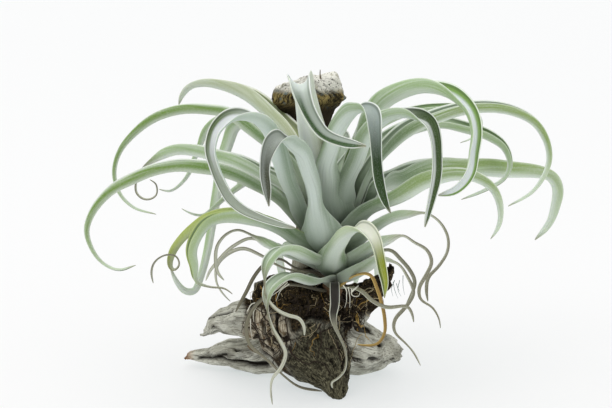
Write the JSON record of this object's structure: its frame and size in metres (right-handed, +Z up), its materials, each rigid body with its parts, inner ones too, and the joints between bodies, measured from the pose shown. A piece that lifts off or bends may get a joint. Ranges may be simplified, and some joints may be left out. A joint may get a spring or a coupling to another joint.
{
  "type": "chiapensis air plant on driftwood",
  "caption": "Silvery rosette of channelled, arching and curling leaves, the lowest dried to ribbons, seated on a rooty piece of driftwood that stands by itself.",
  "frame": {"origin": "on the surface that the driftwood rests on, under the middle of the whole plant's box", "axes": "+Z up; +X to the right as the plant is looked at from the front, along its widest spread; +Y to the back"},
  "size_m": [0.3028, 0.2089, 0.2056],
  "materials": {
    "live_leaf": "matt grey-green leaf covered in fine silvery scales",
    "pale_leaf": "matt pale silver-green leaf",
    "yellowing_leaf": "matt leaf turning yellow-green at its rims",
    "dried_leaf": "dry papery grey-brown ribbon",
    "stem": "fibrous brown stem and leaf bases",
    "driftwood": "weathered grey wood with a dark brown fibrous root mass"
  },
  "bodies": {
    "root": {"plant_stem": "stem", "leaf_front_round_sheath": "pale_leaf", "leaf_front_yellow_tip": "yellowing_leaf", "leaf_low_front_curl": "pale_leaf", "leaf_low_front_long": "pale_leaf", "leaf_low_centre_dry": "dried_leaf", "leaf_low_right_dry": "dried_leaf", "leaf_low_left_dry": "pale_leaf", "leaf_right_brown_curl": "dried_leaf", "leaf_right_short_dry": "pale_leaf", "leaf_left_front_arch": "yellowing_leaf", "leaf_right_front_arch": "live_leaf", "leaf_right_centre_fold": "live_leaf", "leaf_left_big_arch": "live_leaf", "leaf_right_inner_arch": "live_leaf", "leaf_left_long": "live_leaf", "leaf_right_long": "live_leaf", "leaf_top_fold": "live_leaf", "leaf_right_top_arch": "live_leaf", "leaf_left_top_arch": "live_leaf", "leaf_right_wide_arch": "live_leaf", "leaf_right_back_arch": "pale_leaf", "leaf_left_thin_curl": "pale_leaf", "leaf_back_left_top": "pale_leaf", "leaf_back_left_drop": "pale_leaf", "leaf_back_left_wide": "pale_leaf", "leaf_back_left_small": "pale_leaf", "leaf_left_yellow": "yellowing_leaf", "leaf_back_right_tip": "pale_leaf", "leaf_rear_right": "live_leaf", "leaf_rear_centre": "live_leaf", "leaf_rear_upright": "live_leaf", "leaf_rear_left": "live_leaf", "leaf_rear_low_right": "pale_leaf", "leaf_rear_low_left": "pale_leaf", "leaf_rear_wide_right": "live_leaf", "leaf_rear_wide_left": "live_leaf", "ribbon_right_behind": "dried_leaf", "ribbon_left_dark": "dried_leaf", "ribbon_left_grey": "dried_leaf", "ribbon_left_hook": "dried_leaf", "ribbon_floor": "dried_leaf", "ribbon_right_pale": "dried_leaf", "ribbon_right_orange": "dried_leaf", "driftwood": "driftwood"}
  },
  "joints": []
}
